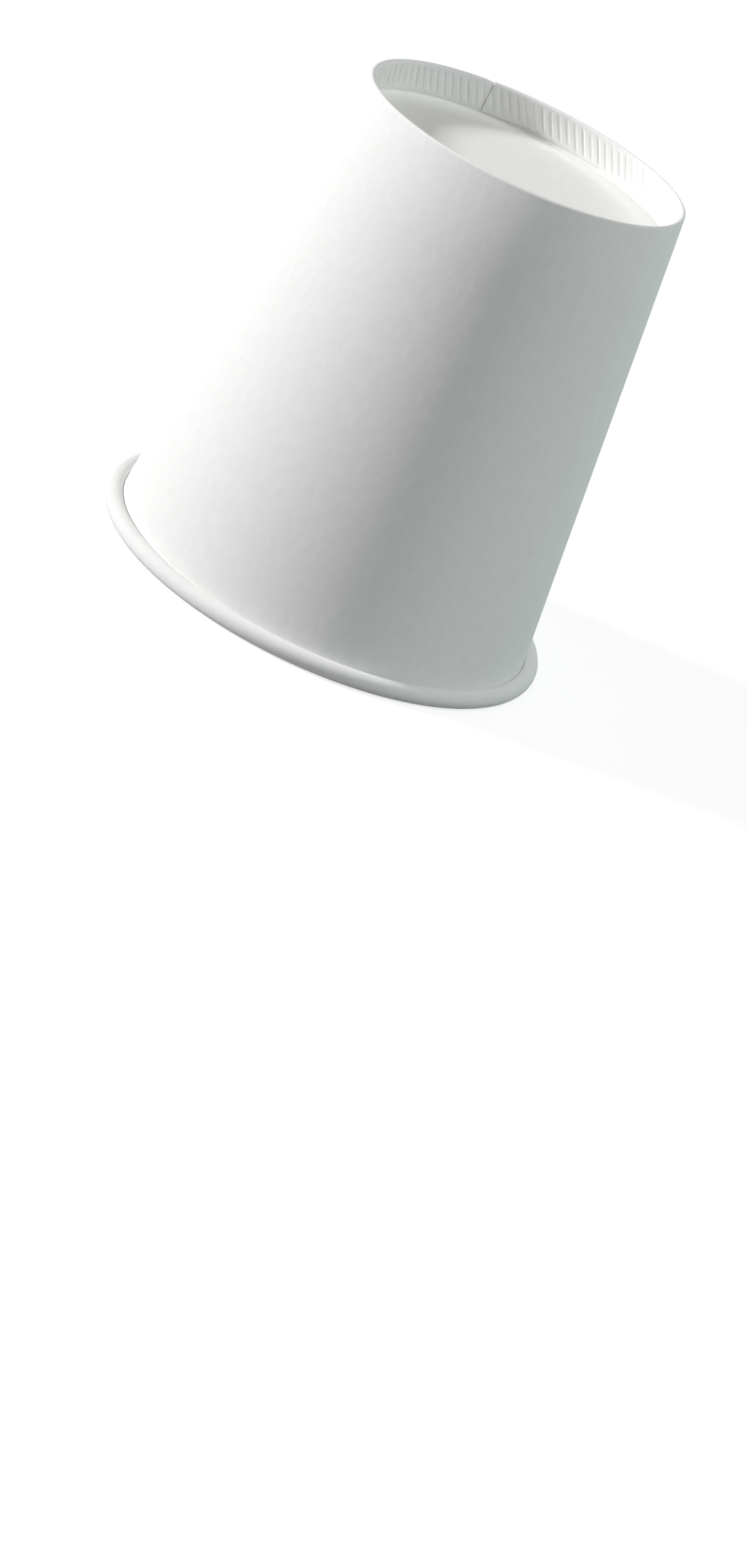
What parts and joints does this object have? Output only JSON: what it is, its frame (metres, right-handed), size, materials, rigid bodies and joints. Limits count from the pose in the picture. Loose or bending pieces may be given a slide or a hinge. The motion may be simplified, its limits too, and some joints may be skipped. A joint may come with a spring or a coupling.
{
  "type": "tapered paper cup",
  "caption": "White tapered paper cup with a rolled rim, lapped side seam, recessed flat bottom and knurled foot, standing mouth down.",
  "frame": {"origin": "centre of the mouth plane, which the rolled rim rests on as the cup stands mouth down", "axes": "+Z along the cup's axis from the mouth up to the foot; the side seam lies towards +Y, and -Y faces the picture's camera"},
  "size_m": [0.075, 0.075, 0.0795],
  "materials": {
    "wall_board": "matte",
    "bottom_board": "matte"
  },
  "bodies": {
    "root": {"side_wall": "wall_board", "bottom_disc": "bottom_board"}
  },
  "joints": []
}
